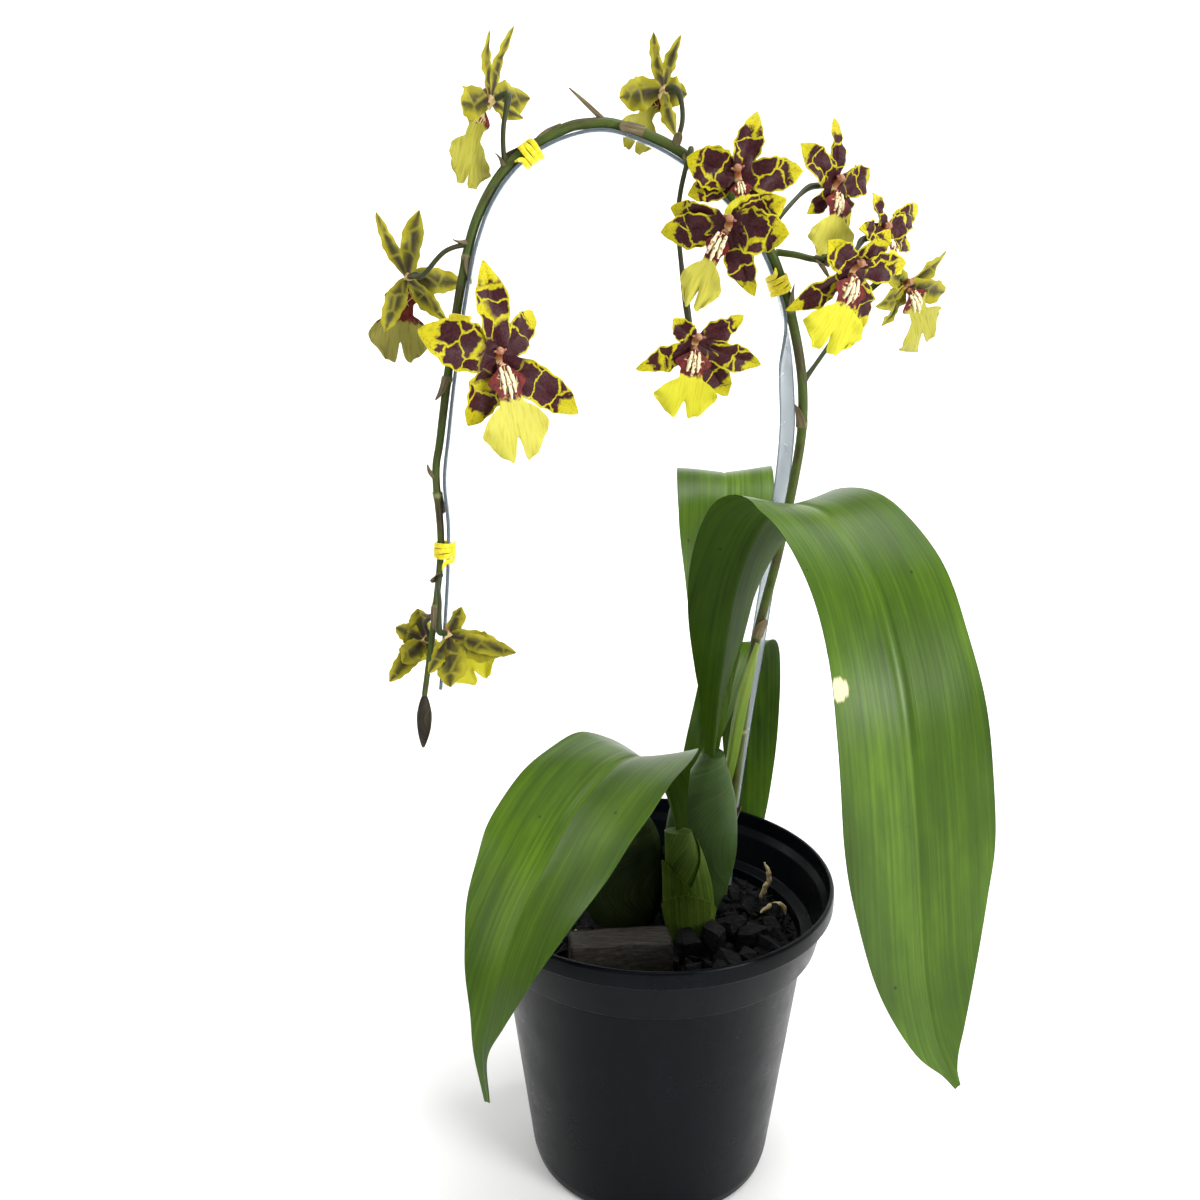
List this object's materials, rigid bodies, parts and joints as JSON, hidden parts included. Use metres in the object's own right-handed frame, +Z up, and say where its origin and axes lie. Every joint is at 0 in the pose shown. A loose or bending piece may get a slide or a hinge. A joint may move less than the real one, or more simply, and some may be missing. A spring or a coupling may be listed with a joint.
{
  "type": "potted orchid",
  "caption": "Potted oncidium orchid with strap leaves and an arching stem of yellow and maroon blooms tied to a bent clear strip, in a round black nursery pot of charcoal.",
  "frame": {"origin": "middle of the pot's underside", "axes": "+Z up out of the pot, -Y towards the side the picture shows, +X to that side's right"},
  "size_m": [0.2295, 0.2334, 0.4571],
  "materials": {
    "pot": "satin moulded",
    "charcoal": "charred, matte",
    "charcoal_block": "ashy, matte",
    "pseudobulb": "dull waxy",
    "shoot": "satin waxy",
    "leaf": "satin waxy, veined",
    "stem": "satin",
    "bud": "satin",
    "strip": "clear",
    "tie_wire": "glossy coating over wire",
    "root": "dry, matte",
    "tepals": "matte, maroon blotches with yellow edges",
    "lip": "matte, yellow with a red marked base"
  },
  "bodies": {
    "root": {"pot": "pot", "charcoal_bed": "charcoal", "charcoal_block": "charcoal_block", "main_pseudobulb": "pseudobulb", "old_pseudobulb": "pseudobulb", "new_shoot": "shoot", "leaf_right": "leaf", "leaf_back": "leaf", "leaf_back_low": "leaf", "leaf_front_left": "leaf", "sheath_leaf": "shoot", "flower_stem": "stem", "tip_bud": "bud", "support_strip": "strip", "tie_1": "tie_wire", "tie_2": "tie_wire", "tie_3": "tie_wire", "tie_4": "tie_wire", "root_1": "root", "root_2": "root", "root_3": "root", "bloom_a": "tepals", "bloom_b": "tepals", "bloom_c": "tepals", "bloom_d": "tepals", "bloom_e": "tepals", "bloom_f": "tepals", "bloom_g": "tepals", "bloom_h": "tepals", "bloom_i": "tepals", "bloom_j": "tepals", "bloom_k": "tepals", "bloom_l": "tepals", "bloom_m": "tepals", "lip_a": "lip", "lip_b": "lip", "lip_c": "lip", "lip_d": "lip", "lip_e": "lip", "lip_f": "lip", "lip_g": "lip", "lip_h": "lip", "lip_i": "lip", "lip_j": "lip", "lip_k": "lip", "lip_l": "lip", "lip_m": "lip"}
  },
  "joints": []
}
